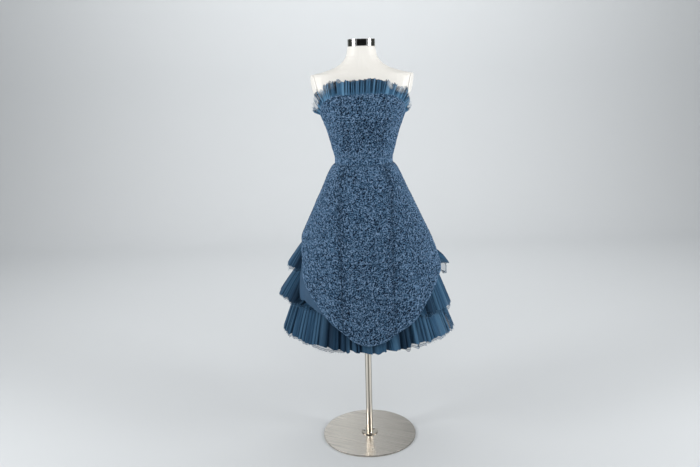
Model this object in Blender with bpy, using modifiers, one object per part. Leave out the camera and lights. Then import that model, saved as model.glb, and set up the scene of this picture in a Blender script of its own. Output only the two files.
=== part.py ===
"""Strapless cocktail dress on a limbless dress form, which stands on a pole and a round base plate.

Metres, +Z up. The front faces -Y and +X is the viewer's right. The origin is the centre of the base
plate's underside. A turn is the angle round the body in degrees: 0 at the centre front, 90 at the +X
side, 180 at the centre back. Every cloth layer is placed by how far it lies outside the overskirt's
or the bodice's outer face, along the oval's normal.
"""

import math
import random
from bisect import bisect_right
from collections import namedtuple

import bmesh
import bpy
from mathutils import Matrix, Vector

# Seams and walls. Columns of points down a piece are COLUMN_STEP degrees apart
SEAM_GAP = 0.0003
SHELL_WALL = 0.0020
LINING_WALL = 0.0012
NET_WALL = 0.0014
COLUMN_STEP = 10
SMOOTH_ANGLE = 35
TORSO_SMOOTH_ANGLE = 50
BEVEL_ANGLE = 60
WELD = 1e-5

# Base plate, flange and pole
BASE_RADIUS = 0.1905
BASE_THICKNESS = 0.006
BASE_EDGE = 0.0012
BASE_SIDES = 48
FLANGE_RADIUS = 0.0335
FLANGE_THICKNESS = 0.004
FLANGE_SIDES = 24
SCREW_CIRCLE = 0.0235
SCREW_HEAD_RADIUS = 0.0045
SCREW_HEAD_HEIGHT = 0.0026
SCREW_EDGE = 0.0010
SCREW_SIDES = 10
SCREW_TURNS = (12, 132, 252)
POLE_RADIUS = 0.0127
POLE_SIDES = 24

# Form
NECK_RADIUS = 0.050
NECK_TOP = 1.557
NECK_CAP_HEIGHT = 0.026
NECK_CAP_EDGE = 0.0015
NECK_CAP_SIDES = 36
ARM_PLATE_HEIGHT = 1.41
ARM_PLATE_REACH = 0.175
ARM_PLATE_TILT = 9
ARM_PLATE_YAW = 15
ARM_PLATE_THICKNESS = 0.006
ARM_PLATE_RIM = 0.55
ARM_PLATE_DOME = 0.90
ARM_CUT_FOOT = 1.34

# Waist
WAISTBAND_TOP = 1.160
WAISTBAND_FOOT = 1.130
BODICE_FOOT = WAISTBAND_TOP + SEAM_GAP
SKIRT_TOP = WAISTBAND_FOOT - SEAM_GAP

# Bodice: the princess seams run over the bust points
PRINCESS_TURN = 30
BODICE_ROWS = 8
BUST_HEIGHT = 1.286
BUST_FULLNESS = 0.011
FORM_FULLNESS = 0.007
BUST_SPREAD_TURN = 17
BUST_SPREAD_HEIGHT = 0.036

# Overskirt: two petals, front and back, cut in gores whose seams hang straight down
GORE_SEAM_OFFSET = 0.095
GORE_SEAM_WAIST_TURN = 37
OVERSKIRT_YOKE = (1.118, 1.095, 1.064)
OVERSKIRT_ROWS = 7
FRONT_GORE_COLUMNS = 8
SIDE_GORE_COLUMNS = 11
BACK_COLUMNS = 12
FOLD_START = 1.02
FOLD_FULL = 0.62
HEM_TRIES = 30

# Columns of the front left gore that the lining's edge shows under
STRIP_GAP = 0.0010
STRIP_COLUMNS = slice(4, 11)

# Underskirt that carries the ruffles, and the room for them under the petals
UNDERSKIRT_FOOT = 0.520
UNDERSKIRT_GORES = 8
UNDERSKIRT_GORE_COLUMNS = 5
UNDERSKIRT_HIPS = (0.930, 1.000)
TIER_ROOM = 0.0068
TIER_MARGIN = 0.010
TIER_RELEASE = 0.024
TIER_PRESSED = 0.5
TIER_NEIGHBOURS = range(-12, 13, 2)
TIER_BEND_MIDDLE = 0.5
TIER_BEND_LIMITS = (0.3, 0.9)
RUFFLE_SEED = 7

Section = namedtuple("Section", "height half_width front_depth back_depth")
Edge = namedtuple("Edge", "turn left_height right_height")
Fold = namedtuple("Fold", "turn spread depth")
Inset = namedtuple("Inset", "height inset")
Collar = namedtuple("Collar", "turn height lean length")
Foot = namedtuple("Foot", "turn height")
Tier = namedtuple("Tier", "name top waves front_out left_out right_out hem_pleat hem")

BODICE = [
    Section(1.400, 0.158, 0.1010, 0.104),
    Section(1.370, 0.160, 0.1085, 0.106),
    Section(1.340, 0.159, 0.1155, 0.106),
    Section(1.315, 0.157, 0.1175, 0.104),
    Section(1.290, 0.148, 0.1175, 0.100),
    Section(1.260, 0.137, 0.1110, 0.095),
    Section(1.220, 0.1255, 0.1005, 0.089),
    Section(1.190, 0.1180, 0.0935, 0.085),
    Section(1.160, 0.1105, 0.0870, 0.080),
    Section(1.145, 0.1085, 0.0855, 0.079),
    Section(1.130, 0.1105, 0.0870, 0.080),
]

# The neckline is highest at the centre front, and its ruffle leans out at the sides
NECKLINE = [
    Collar(0, 1.391, 6, 0.050),
    Collar(33, 1.390, 12, 0.050),
    Collar(46, 1.383, 16, 0.046),
    Collar(61, 1.369, 24, 0.040),
    Collar(75, 1.352, 38, 0.032),
    Collar(84, 1.328, 54, 0.031),
    Collar(92, 1.314, 60, 0.031),
    Collar(120, 1.304, 42, 0.038),
    Collar(150, 1.300, 26, 0.044),
    Collar(180, 1.300, 20, 0.046),
]

SKIRT = [
    Section(1.130, 0.1125, 0.0885, 0.0820),
    Section(1.118, 0.1235, 0.0965, 0.0910),
    Section(1.095, 0.1360, 0.1050, 0.1020),
    Section(1.064, 0.1500, 0.1155, 0.1150),
    Section(1.033, 0.1640, 0.1260, 0.1270),
    Section(0.987, 0.1860, 0.1420, 0.1440),
    Section(0.924, 0.2150, 0.1640, 0.1670),
    Section(0.860, 0.2450, 0.1860, 0.1890),
    Section(0.800, 0.2700, 0.2060, 0.2090),
    Section(0.700, 0.3000, 0.2320, 0.2350),
    Section(0.600, 0.3180, 0.2510, 0.2530),
    Section(0.500, 0.3320, 0.2650, 0.2670),
    Section(0.440, 0.3380, 0.2700, 0.2720),
]

# Hem of a petal: lowest at its centre, and it rises to a notch at each side seam
PETAL_HEM = [
    Edge(0, 0.493, 0.493),
    Edge(9, 0.509, 0.506),
    Edge(17, 0.541, 0.527),
    Edge(25, 0.574, 0.549),
    Edge(35, 0.618, 0.580),
    Edge(45, 0.669, 0.626),
    Edge(55, 0.722, 0.671),
    Edge(63, 0.785, 0.697),
    Edge(72, 0.829, 0.712),
    Edge(78, 0.842, 0.728),
    Edge(84, 0.851, 0.758),
    Edge(90, 0.856, 0.802),
]

# Foot of the plain lining under the front petal, which shows as a strip past its left edge
LINING_FOOT = [
    Foot(-64, 0.788),
    Foot(-57, 0.651),
    Foot(-50, 0.640),
    Foot(-44, 0.625),
    Foot(-37, 0.607),
    Foot(-31, 0.594),
    Foot(-24, 0.562),
]

# Soft folds of the overskirt, troughs negative, at their full depth near the hem
FOLDS = [
    Fold(-128, 12, -0.005),
    Fold(-62, 9, -0.003),
    Fold(-36, 8, -0.005),
    Fold(-20, 5, -0.003),
    Fold(21, 6, -0.006),
    Fold(43, 9, -0.004),
    Fold(66, 8, -0.003),
    Fold(112, 10, -0.004),
    Fold(147, 9, -0.006),
    Fold(-158, 8, -0.004),
]

# How far the underskirt's outer face lies inside the overskirt's
UNDERSKIRT_INSETS = [
    Inset(1.130, 0.0031),
    Inset(1.118, 0.0036),
    Inset(1.095, 0.0050),
    Inset(1.064, 0.0090),
    Inset(1.000, 0.0190),
    Inset(0.930, 0.0350),
    Inset(0.880, 0.0400),
    Inset(0.520, 0.0400),
]

# Lower ruffle's hem, which hangs a little deeper at the centre front and back
LOWER_HEM = [
    Edge(0, 0.466, 0.466),
    Edge(22, 0.474, 0.474),
    Edge(45, 0.487, 0.484),
    Edge(70, 0.492, 0.488),
    Edge(90, 0.484, 0.478),
]
UPPER_HEM = [Edge(0, 0.742, 0.742), Edge(45, 0.747, 0.736), Edge(90, 0.752, 0.731)]
MIDDLE_HEM = [Edge(0, 0.600, 0.600), Edge(45, 0.615, 0.585), Edge(90, 0.624, 0.575)]

TIERS = [
    Tier("ruffle_tier_upper", 0.892, 38, -0.016, 0.008, 0.017, 0.0090, UPPER_HEM),
    Tier("ruffle_tier_middle", 0.762, 42, -0.014, 0.019, -0.002, 0.0100, MIDDLE_HEM),
    Tier("ruffle_tier_lower", 0.634, 48, -0.016, -0.012, -0.003, 0.0110, LOWER_HEM),
]
TIER_TOP_PLEAT = 0.0020
NECK_WAVES = 52
NECK_PLEAT_FOOT = 0.0012
NECK_PLEAT_TOP = 0.0052
RUFFLE_ROWS = (0, 0.5, 1)

# A pleat is a valley and two ridge corners, each at a share of the pleat's width
PLEAT_CORNERS = ((0, -1), (0.32, 1), (0.68, 1))
PLEAT_WIDTHS = (0.75, 1.25)
PLEAT_RISES = (0.72, 1.0)

TORSO = [
    Section(0.835, 0.128, 0.092, 0.094),
    Section(0.846, 0.149, 0.103, 0.107),
    Section(0.875, 0.163, 0.109, 0.116),
    Section(0.930, 0.168, 0.112, 0.120),
    Section(1.000, 0.152, 0.104, 0.108),
    Section(1.060, 0.130, 0.0945, 0.0945),
    Section(1.100, 0.1145, 0.0870, 0.0820),
    Section(1.130, 0.1075, 0.0840, 0.0770),
    Section(1.145, 0.1060, 0.0830, 0.0765),
    Section(1.160, 0.1075, 0.0840, 0.0770),
    Section(1.200, 0.1165, 0.0915, 0.0825),
    Section(1.245, 0.1285, 0.1030, 0.0880),
    Section(1.290, 0.1425, 0.1110, 0.0945),
    Section(1.330, 0.1505, 0.1090, 0.0985),
    Section(1.358, 0.1530, 0.1040, 0.0985),
    Section(1.376, 0.1570, 0.0950, 0.0970),
    Section(1.390, 0.1760, 0.0880, 0.0940),
    Section(1.410, 0.1900, 0.0800, 0.0890),
    Section(1.435, 0.1950, 0.0700, 0.0800),
    Section(1.452, 0.1950, 0.0640, 0.0730),
    Section(1.4595, 0.1860, 0.0620, 0.0700),
    Section(1.467, 0.1490, 0.0605, 0.0680),
    Section(1.480, 0.1060, 0.0590, 0.0650),
    Section(1.495, 0.0800, 0.0570, 0.0610),
    Section(1.509, 0.0660, 0.0550, 0.0575),
    Section(1.525, 0.0560, 0.0525, 0.0535),
    Section(NECK_TOP, NECK_RADIUS, NECK_RADIUS, NECK_RADIUS),
]

COLOURS = {
    "crinkle_cloth": ((0.075, 0.135, 0.250), 0.85, 0.0),
    "pleated_net": ((0.055, 0.115, 0.200), 0.75, 0.0),
    "plain_lining": ((0.070, 0.130, 0.220), 0.70, 0.0),
    "form_white": ((0.800, 0.790, 0.750), 0.55, 0.0),
    "chrome": ((0.780, 0.780, 0.780), 0.08, 1.0),
    "brushed_steel": ((0.560, 0.540, 0.510), 0.32, 1.0),
}


def read(rows, key, column):
    """A named column where the table's first column is key, on a smooth curve through the rows."""
    rows = sorted(rows)
    keys = [row[0] for row in rows]
    values = [getattr(row, column) for row in rows]
    last = len(rows) - 1
    key = min(max(key, keys[0]), keys[-1])
    low = min(bisect_right(keys, key) - 1, last - 1)

    def slope(index):
        before, after = max(index - 1, 0), min(index + 1, last)
        return (values[after] - values[before]) / (keys[after] - keys[before])

    width = keys[low + 1] - keys[low]
    share = (key - keys[low]) / width
    rise, fall = share * share * (3 - 2 * share), share * (1 - share)
    bend = fall * (1 - share) * slope(low) - fall * share * slope(low + 1)
    return values[low] * (1 - rise) + values[low + 1] * rise + width * bend


def ease(share):
    """0 below 0, 1 above 1, and smooth between."""
    share = min(max(share, 0.0), 1.0)
    return share * share * (3 - 2 * share)


def hump(distance, spread):
    return math.exp(-((distance / spread) ** 2))


def apart(turn, other):
    """The angle between two turns, the short way round."""
    return abs((turn - other + 180) % 360 - 180)


def oval(rows, turn, height, out):
    """A point of the oval section at this height, moved out along the oval's normal."""
    angle = math.radians(turn)
    across = read(rows, height, "half_width")
    deep = read(rows, height, "front_depth" if math.cos(angle) > 0 else "back_depth")
    normal = Vector((deep * math.sin(angle), -across * math.cos(angle), 0)).normalized()
    return Vector((across * math.sin(angle), -deep * math.cos(angle), height)) + out * normal


def bust(turn, height):
    """How full the princess seams make the cloth at this point, 1 over each bust point."""
    rise = hump(height - BUST_HEIGHT, BUST_SPREAD_HEIGHT)
    return rise * hump(apart(abs(turn), PRINCESS_TURN), BUST_SPREAD_TURN)


def bodice_point(turn, height, out=0.0):
    return oval(BODICE, turn, height, out + BUST_FULLNESS * bust(turn, height))


def torso_point(turn, height):
    return oval(TORSO, turn, height, FORM_FULLNESS * bust(turn, height))


def fold_depth(turn, height):
    """How far the overskirt's soft folds lie off its plain oval, less than 0 in a trough."""
    fullness = ease((FOLD_START - height) / (FOLD_START - FOLD_FULL))
    return fullness * sum(fold.depth * hump(apart(turn, fold.turn), fold.spread) for fold in FOLDS)


def skirt_point(turn, height, out=0.0):
    """A point of the overskirt's outer face, moved out."""
    return oval(SKIRT, turn, height, out + fold_depth(turn, height))


def mirrored_turn(turn):
    """The angle from the centre front or back, 0 to 90, and whether the turn is on the left."""
    turn = (turn + 180) % 360 - 180
    return min(abs(turn), 180 - abs(turn)), turn < 0


def edge_height(rows, turn):
    angle, left = mirrored_turn(turn)
    return read(rows, angle, "left_height" if left else "right_height")


def cover_height(turn):
    """The lowest height at which a petal or the lining strip lies over the ruffles."""
    turn = (turn + 180) % 360 - 180
    petal = edge_height(PETAL_HEM, turn)
    if LINING_FOOT[0].turn <= turn <= LINING_FOOT[-1].turn:
        return min(petal, read(LINING_FOOT, turn, "height"))
    return petal


def uncovered(turn, height):
    """0 where a ruffle lies under a petal, and 1 well past the petal's edge, where it springs out."""
    nearest = TIER_MARGIN + TIER_RELEASE
    for step in TIER_NEIGHBOURS:
        across = math.radians(step) * read(SKIRT, height, "half_width")
        nearest = min(nearest, math.hypot(across, max(0.0, cover_height(turn + step) - height)))
    return ease((nearest - TIER_MARGIN) / TIER_RELEASE)


def neckline(turn, column):
    return read(NECKLINE, apart(turn, 0), column)


def bodice_top(turn):
    """The middle of the bodice's top edge, which is straight from one of its columns to the next."""
    first = math.floor(turn / COLUMN_STEP) * COLUMN_STEP
    start, end = (
        bodice_point(column, neckline(column, "height"), -SHELL_WALL / 2)
        for column in (first, first + COLUMN_STEP)
    )
    return start.lerp(end, (turn - first) / COLUMN_STEP)


def material(name):
    colour, roughness, metallic = COLOURS[name]
    made = bpy.data.materials.get(name) or bpy.data.materials.new(name)
    made.use_nodes = True
    shader = made.node_tree.nodes["Principled BSDF"]
    shader.inputs["Base Color"].default_value = (*colour, 1)
    shader.inputs["Roughness"].default_value = roughness
    shader.inputs["Metallic"].default_value = metallic
    return made


def add_object(name, mesh, material_name, smooth_angle=SMOOTH_ANGLE):
    mesh.materials.clear()
    mesh.materials.append(material(material_name))
    mesh.shade_smooth()
    mesh.set_sharp_from_angle(angle=math.radians(smooth_angle))
    made = bpy.data.objects.new(name, mesh)
    PARTS.objects.link(made)
    return made


def mesh_from(name, shape):
    mesh = bpy.data.meshes.new(name)
    shape.to_mesh(mesh)
    shape.free()
    return mesh


def group(name, pieces):
    """An empty that carries the pieces."""
    carrier = bpy.data.objects.new(name, None)
    PARTS.objects.link(carrier)
    for piece in pieces:
        piece.parent = carrier


def loft(shape, rows, around):
    """Faces through rows of points, from the lowest row up, facing out, and closed round if around."""
    corners = [[shape.verts.new(point) for point in row] for row in rows]
    columns = len(corners[0])
    for low, high in zip(corners, corners[1:]):
        for column in range(columns if around else columns - 1):
            beside = (column + 1) % columns
            shape.faces.new((low[column], low[beside], high[beside], high[column]))
    return corners


def cloth(name, rows, wall, material_name, around=False, inwards=True):
    """An open lofted surface with a wall, inwards from the surface or half on each side of it."""
    shape = bmesh.new()
    loft(shape, rows, around)
    made = add_object(name, mesh_from(name, shape), material_name)
    solidify = made.modifiers.new("wall", "SOLIDIFY")
    solidify.thickness = wall
    solidify.offset = -1 if inwards else 0
    return made


def seam_turn(radius):
    """Half a seam's gap as a turn, with room for two walls that lean together on their inner side."""
    leaning = SHELL_WALL * math.sin(math.radians(COLUMN_STEP / 2))
    return math.degrees((SEAM_GAP / 2 + leaning) / radius)


def turns_between(start, end):
    """Columns of a panel from seam to seam."""
    gap = seam_turn(read(BODICE, WAISTBAND_TOP, "back_depth"))
    return [start + gap, *range(start + COLUMN_STEP, end, COLUMN_STEP), end - gap]


def bodice_panel(name, start, end):
    turns = turns_between(start, end)
    rises = [neckline(turn, "height") - BODICE_FOOT for turn in turns]
    rows = []
    for row in range(BODICE_ROWS + 1):
        share = row / BODICE_ROWS
        rows.append([bodice_point(turn, BODICE_FOOT + share * rise) for turn, rise in zip(turns, rises)])
    return cloth(name, rows, SHELL_WALL, "crinkle_cloth")


def waistband():
    """A fitted band, open by a seam's gap at the centre back."""
    heights = (WAISTBAND_FOOT, (WAISTBAND_FOOT + WAISTBAND_TOP) / 2, WAISTBAND_TOP)
    rows = [[bodice_point(turn, height) for turn in turns_between(-180, 180)] for height in heights]
    return cloth("waistband", rows, SHELL_WALL, "crinkle_cloth")


def gore_seam_turn(height):
    """Turn of the front gore seam, which hangs straight down once it has left the waist."""
    across = read(SKIRT, height, "half_width")
    return min(GORE_SEAM_WAIST_TURN, math.degrees(math.asin(GORE_SEAM_OFFSET / across)))


def left_gore_seam_turn(height):
    return -gore_seam_turn(height)


def gore_turn(share, height, first, last):
    """Turn of a gore's column: first and last are its seams, each a turn or a function of height."""
    ends = [seam(height) if callable(seam) else seam for seam in (first, last)]
    gap = seam_turn(read(SKIRT, height, "front_depth"))
    return ends[0] + gap + share * (ends[1] - ends[0] - 2 * gap)


def hem_height(share, first, last):
    """Height where a gore's column meets the hem. Each depends on the other, so it is closed in on."""
    hem = FOLD_FULL
    for _ in range(HEM_TRIES):
        hem = (hem + edge_height(PETAL_HEM, gore_turn(share, hem, first, last))) / 2
    return hem


def gore_columns(first, last, columns):
    """Each column of a gore as turns and heights, from the petal's curved hem up to the waist seam."""
    top_rows = (*reversed(OVERSKIRT_YOKE), SKIRT_TOP)
    made = []
    for share in (step / columns for step in range(columns + 1)):
        hem = hem_height(share, first, last)
        rise = (top_rows[0] - hem) / OVERSKIRT_ROWS
        heights = (*(hem + rise * row for row in range(OVERSKIRT_ROWS)), *top_rows)
        made.append([(gore_turn(share, height, first, last), height) for height in heights])
    return made


def skirt_piece(name, columns, out, wall, material_name):
    """A piece of the skirt from its columns of turns and heights, this far outside the overskirt's face."""
    points = [[skirt_point(turn, height, out) for turn, height in column] for column in columns]
    return cloth(name, list(zip(*points)), wall, material_name)


def gore(name, first, last, columns):
    return skirt_piece(name, gore_columns(first, last, columns), 0, SHELL_WALL, "crinkle_cloth")


def front_left_gore():
    """The gore with the lining's edge under it, which is made from the gore's own points, moved in."""
    columns = gore_columns(-90, left_gore_seam_turn, SIDE_GORE_COLUMNS)
    strip = []
    for column in columns[STRIP_COLUMNS]:
        turn = column[0][0]
        strip.append([(turn, read(LINING_FOOT, turn, "height")), *column[:2]])
    return [
        skirt_piece("overskirt_front_left", columns, 0, SHELL_WALL, "crinkle_cloth"),
        skirt_piece("petal_lining_strip", strip, -SHELL_WALL - STRIP_GAP, LINING_WALL, "plain_lining"),
    ]


def underskirt_gore(name, first, last):
    """A gore of the cone under the overskirt, with a row of points at each ruffle's seam."""
    seams = [tier.top for tier in reversed(TIERS)]
    rows = []
    for height in (UNDERSKIRT_FOOT, *seams, *UNDERSKIRT_HIPS, *reversed(OVERSKIRT_YOKE), SKIRT_TOP):
        inset = read(UNDERSKIRT_INSETS, height, "inset")
        shares = [step / UNDERSKIRT_GORE_COLUMNS for step in range(UNDERSKIRT_GORE_COLUMNS + 1)]
        rows.append([oval(SKIRT, gore_turn(share, height, first, last), height, -inset) for share in shares])
    return cloth(name, rows, LINING_WALL, "plain_lining")


def underskirt():
    width = 360 / UNDERSKIRT_GORES
    pieces = []
    for number in range(UNDERSKIRT_GORES):
        first = width * number - 180
        pieces.append(underskirt_gore(f"underskirt_gore_{number + 1}", first, first + width))
    return pieces


def pleats(waves, seed):
    """Uneven pleats round a ring: the turn and rise of each corner."""
    chance = random.Random(seed)
    widths = [chance.uniform(*PLEAT_WIDTHS) for _ in range(waves)]
    total, turn, corners = sum(widths), -180.0, []
    for width in widths:
        step = 360 * width / total
        rise = chance.uniform(*PLEAT_RISES)
        corners += [(turn + share * step, level * rise) for share, level in PLEAT_CORNERS]
        turn += step
    return corners


def tier_bend(tier, hem, turn):
    """How far down the tier its middle row lies: at the petal's edge where that crosses the tier."""
    share = (tier.top - cover_height(turn) + TIER_MARGIN / 2) / (tier.top - hem)
    least, most = TIER_BEND_LIMITS
    return min(max(share, least), most) if share > 0 else TIER_BEND_MIDDLE


def tier_point(tier, turn, height, share, rise):
    """A point of a tier, gathered on to the underskirt, pressed flat under a petal and free below it."""
    side = math.sin(math.radians(turn)) ** 2
    seam_out = -read(UNDERSKIRT_INSETS, height, "inset") + SEAM_GAP + NET_WALL / 2 + TIER_TOP_PLEAT
    side_out = tier.left_out if mirrored_turn(turn)[1] else tier.right_out
    hem_out = tier.front_out + side * (side_out - tier.front_out)
    natural = seam_out + share * (hem_out - seam_out)
    pleat = TIER_TOP_PLEAT + share * (tier.hem_pleat - TIER_TOP_PLEAT)
    pressed = TIER_TOP_PLEAT + TIER_PRESSED * (pleat - TIER_TOP_PLEAT)
    held = min(natural, fold_depth(turn, height) - TIER_ROOM - NET_WALL / 2 - pressed)
    free = uncovered(turn, height)
    middle = held + free * (natural - held)
    return oval(SKIRT, turn, height, middle + rise * (pressed + free * (pleat - pressed)))


def ruffle_tier(tier, seed):
    rows = [[], [], []]
    for turn, rise in pleats(tier.waves, seed):
        hem = edge_height(tier.hem, turn)
        for row, share in zip(rows, (1, tier_bend(tier, hem, turn), 0)):
            row.append(tier_point(tier, turn, tier.top + share * (hem - tier.top), share, rise))
    return cloth(tier.name, rows, NET_WALL, "pleated_net", around=True, inwards=False)


def neck_point(turn, share, rise):
    """A point of the neck ruffle: share 0 is its foot on the bodice, and 1 its free edge."""
    height, lean = neckline(turn, "height"), math.radians(neckline(turn, "lean"))
    outward = bodice_point(turn, height, 1.0) - bodice_point(turn, height)
    along = Vector((0, 0, math.cos(lean))) + math.sin(lean) * outward
    across = math.cos(lean) * outward - Vector((0, 0, math.sin(lean)))
    lift = 2 * SEAM_GAP + (NECK_PLEAT_FOOT + NET_WALL / 2) * math.sin(lean)
    pleat = NECK_PLEAT_FOOT + share * (NECK_PLEAT_TOP - NECK_PLEAT_FOOT)
    foot = bodice_top(turn) + Vector((0, 0, lift))
    return foot + share * neckline(turn, "length") * along + rise * pleat * across


def neck_ruffle(seed):
    corners = pleats(NECK_WAVES, seed)
    rows = [[neck_point(turn, share, rise) for turn, rise in corners] for share in RUFFLE_ROWS]
    return cloth("neck_ruffle", rows, NET_WALL, "pleated_net", around=True, inwards=False)


def arm_plane(side):
    """A point and the outward direction of an armhole's flat cut, which faces a little down and forward."""
    turned = Matrix.Rotation(math.radians(-side * ARM_PLATE_YAW), 3, "Z")
    tilted = Matrix.Rotation(math.radians(side * ARM_PLATE_TILT), 3, "Y")
    return Vector((side * ARM_PLATE_REACH, 0, ARM_PLATE_HEIGHT)), turned @ tilted @ Vector((side, 0, 0))


def torso_and_arm_plates():
    """The form's torso, cut flat at each armhole, and the plates that close the cuts."""
    shape = bmesh.new()
    rows = [[torso_point(turn, row.height) for turn in range(-180, 180, COLUMN_STEP)] for row in TORSO]
    corners = loft(shape, rows, around=True)
    shape.faces.new(reversed(corners[0]))
    shape.faces.new(corners[-1])
    plates = []
    for side, name in ((-1, "arm_plate_left"), (1, "arm_plate_right")):
        centre, facing = arm_plane(side)
        near = [face for face in shape.faces if side * face.calc_center_median().x > 0]
        near = [face for face in near if ARM_CUT_FOOT < face.calc_center_median().z < NECK_TOP]
        edges = {edge for face in near for edge in face.edges}
        ends = {corner for face in near for corner in face.verts}
        cut = bmesh.ops.bisect_plane(
            shape, geom=[*ends, *edges, *near], dist=WELD, plane_co=centre, plane_no=facing, clear_outer=True
        )["geom_cut"]
        rim = [item for item in cut if isinstance(item, bmesh.types.BMEdge)]
        face = bmesh.ops.contextual_create(shape, geom=rim)["faces"][0]
        plates.append(arm_plate(name, [corner.co.copy() for corner in face.verts], facing))
    bmesh.ops.recalc_face_normals(shape, faces=shape.faces)
    torso = add_object("form_torso", mesh_from("form_torso", shape), "form_white", TORSO_SMOOTH_ANGLE)
    return [torso, *plates]


def arm_plate(name, outline, facing):
    """A plate with the cut's own outline, rounded over towards a flatter middle."""
    shape = bmesh.new()
    middle = sum(outline, Vector()) / len(outline)
    rings = []
    for size, depth in ((1.0, 0.0), (1.0, ARM_PLATE_RIM), (ARM_PLATE_DOME, 1.0)):
        lift = facing * (SEAM_GAP + depth * ARM_PLATE_THICKNESS)
        rings.append([middle + size * (point - middle) + lift for point in outline])
    corners = loft(shape, rings, around=True)
    shape.faces.new(corners[0])
    shape.faces.new(corners[-1])
    bmesh.ops.recalc_face_normals(shape, faces=shape.faces)
    return add_object(name, mesh_from(name, shape), "form_white")


def disc(name, radius, height, sides, edge, place, material_name):
    """A round plate or rod with a bevelled rim, standing on its place."""
    shape = bmesh.new()
    bmesh.ops.create_cone(shape, cap_ends=True, segments=sides, radius1=radius, radius2=radius, depth=height)
    made = add_object(name, mesh_from(name, shape), material_name)
    made.location = (place[0], place[1], place[2] + height / 2)
    if edge:
        bevel = made.modifiers.new("edge", "BEVEL")
        bevel.width = edge
        bevel.segments = 2
        bevel.limit_method = "ANGLE"
        bevel.angle_limit = math.radians(BEVEL_ANGLE)
    return made


def flange(foot):
    """A turned ring round the pole's foot, with a chamfered rim."""
    inner, chamfer = POLE_RADIUS + SEAM_GAP, FLANGE_THICKNESS / 2
    profile = [
        (inner, FLANGE_THICKNESS),
        (FLANGE_RADIUS - chamfer, FLANGE_THICKNESS),
        (FLANGE_RADIUS, FLANGE_THICKNESS - chamfer),
        (FLANGE_RADIUS, 0),
        (inner, 0),
    ]
    mesh = bpy.data.meshes.new("base_flange")
    sides = [(corner, (corner + 1) % len(profile)) for corner in range(len(profile))]
    mesh.from_pydata([(x, 0, z) for x, z in profile], sides, [])
    made = add_object("base_flange", mesh, "brushed_steel")
    made.location.z = foot
    screw = made.modifiers.new("turned", "SCREW")
    screw.axis = "Z"
    screw.steps = screw.render_steps = FLANGE_SIDES
    screw.use_merge_vertices = True
    screw.merge_threshold = WELD
    return made


def stand():
    foot = BASE_THICKNESS + SEAM_GAP
    screw_foot = foot + FLANGE_THICKNESS + SEAM_GAP
    pole_height = TORSO[0].height - SEAM_GAP - foot
    pieces = [
        disc("base_plate", BASE_RADIUS, BASE_THICKNESS, BASE_SIDES, BASE_EDGE, (0, 0, 0), "brushed_steel"),
        disc("pole", POLE_RADIUS, pole_height, POLE_SIDES, 0, (0, 0, foot), "brushed_steel"),
        flange(foot),
    ]
    head = (SCREW_HEAD_RADIUS, SCREW_HEAD_HEIGHT, SCREW_SIDES, SCREW_EDGE)
    for number, turn in enumerate(SCREW_TURNS, start=1):
        angle = math.radians(turn)
        place = (SCREW_CIRCLE * math.sin(angle), -SCREW_CIRCLE * math.cos(angle), screw_foot)
        pieces.append(disc(f"flange_screw_{number}", *head, place, "chrome"))
    group("stand", pieces)


def form():
    cap = (NECK_RADIUS, NECK_CAP_HEIGHT, NECK_CAP_SIDES, NECK_CAP_EDGE, (0, 0, NECK_TOP + SEAM_GAP))
    group("dress_form", [*torso_and_arm_plates(), disc("neck_cap", *cap, "chrome")])


def dress():
    pieces = [
        bodice_panel("bodice_front_centre", -PRINCESS_TURN, PRINCESS_TURN),
        bodice_panel("bodice_front_left", -90, -PRINCESS_TURN),
        bodice_panel("bodice_front_right", PRINCESS_TURN, 90),
        bodice_panel("bodice_back_left", -180, -90),
        bodice_panel("bodice_back_right", 90, 180),
        waistband(),
        neck_ruffle(RUFFLE_SEED),
        gore("overskirt_front_centre", left_gore_seam_turn, gore_seam_turn, FRONT_GORE_COLUMNS),
        *front_left_gore(),
        gore("overskirt_front_right", gore_seam_turn, 90, SIDE_GORE_COLUMNS),
        gore("overskirt_back_left", -180, -90, BACK_COLUMNS),
        gore("overskirt_back_right", 90, 180, BACK_COLUMNS),
        *underskirt(),
    ]
    pieces += [ruffle_tier(tier, RUFFLE_SEED + number) for number, tier in enumerate(TIERS, start=1)]
    group("dress", pieces)


for old in list(bpy.data.objects):
    bpy.data.objects.remove(old)
PARTS = bpy.data.collections.new("cocktail_dress_on_form")
bpy.context.scene.collection.children.link(PARTS)
stand()
form()
dress()
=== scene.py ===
import math
import random

import bpy
import numpy as np
from mathutils import Matrix, Vector


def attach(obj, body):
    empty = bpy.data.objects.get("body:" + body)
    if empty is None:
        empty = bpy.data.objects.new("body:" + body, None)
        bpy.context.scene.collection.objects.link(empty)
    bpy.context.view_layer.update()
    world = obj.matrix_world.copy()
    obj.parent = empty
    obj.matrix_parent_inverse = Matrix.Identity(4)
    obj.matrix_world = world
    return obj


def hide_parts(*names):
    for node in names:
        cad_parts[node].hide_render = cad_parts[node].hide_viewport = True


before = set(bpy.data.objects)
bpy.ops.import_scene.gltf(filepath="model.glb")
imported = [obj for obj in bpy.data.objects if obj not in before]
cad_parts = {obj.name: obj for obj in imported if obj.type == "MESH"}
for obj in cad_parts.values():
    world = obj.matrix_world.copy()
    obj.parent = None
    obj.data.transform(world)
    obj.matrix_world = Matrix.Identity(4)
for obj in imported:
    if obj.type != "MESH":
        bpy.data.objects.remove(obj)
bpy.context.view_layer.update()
print("stage: solids loaded")


# Tables with named columns, and smooth curves through them

def table(columns, rows):
    names = columns.split()
    made = dict(zip(names, np.array(sorted(rows), float).T))
    made["keys"] = made[names[0]]
    return made


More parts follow.
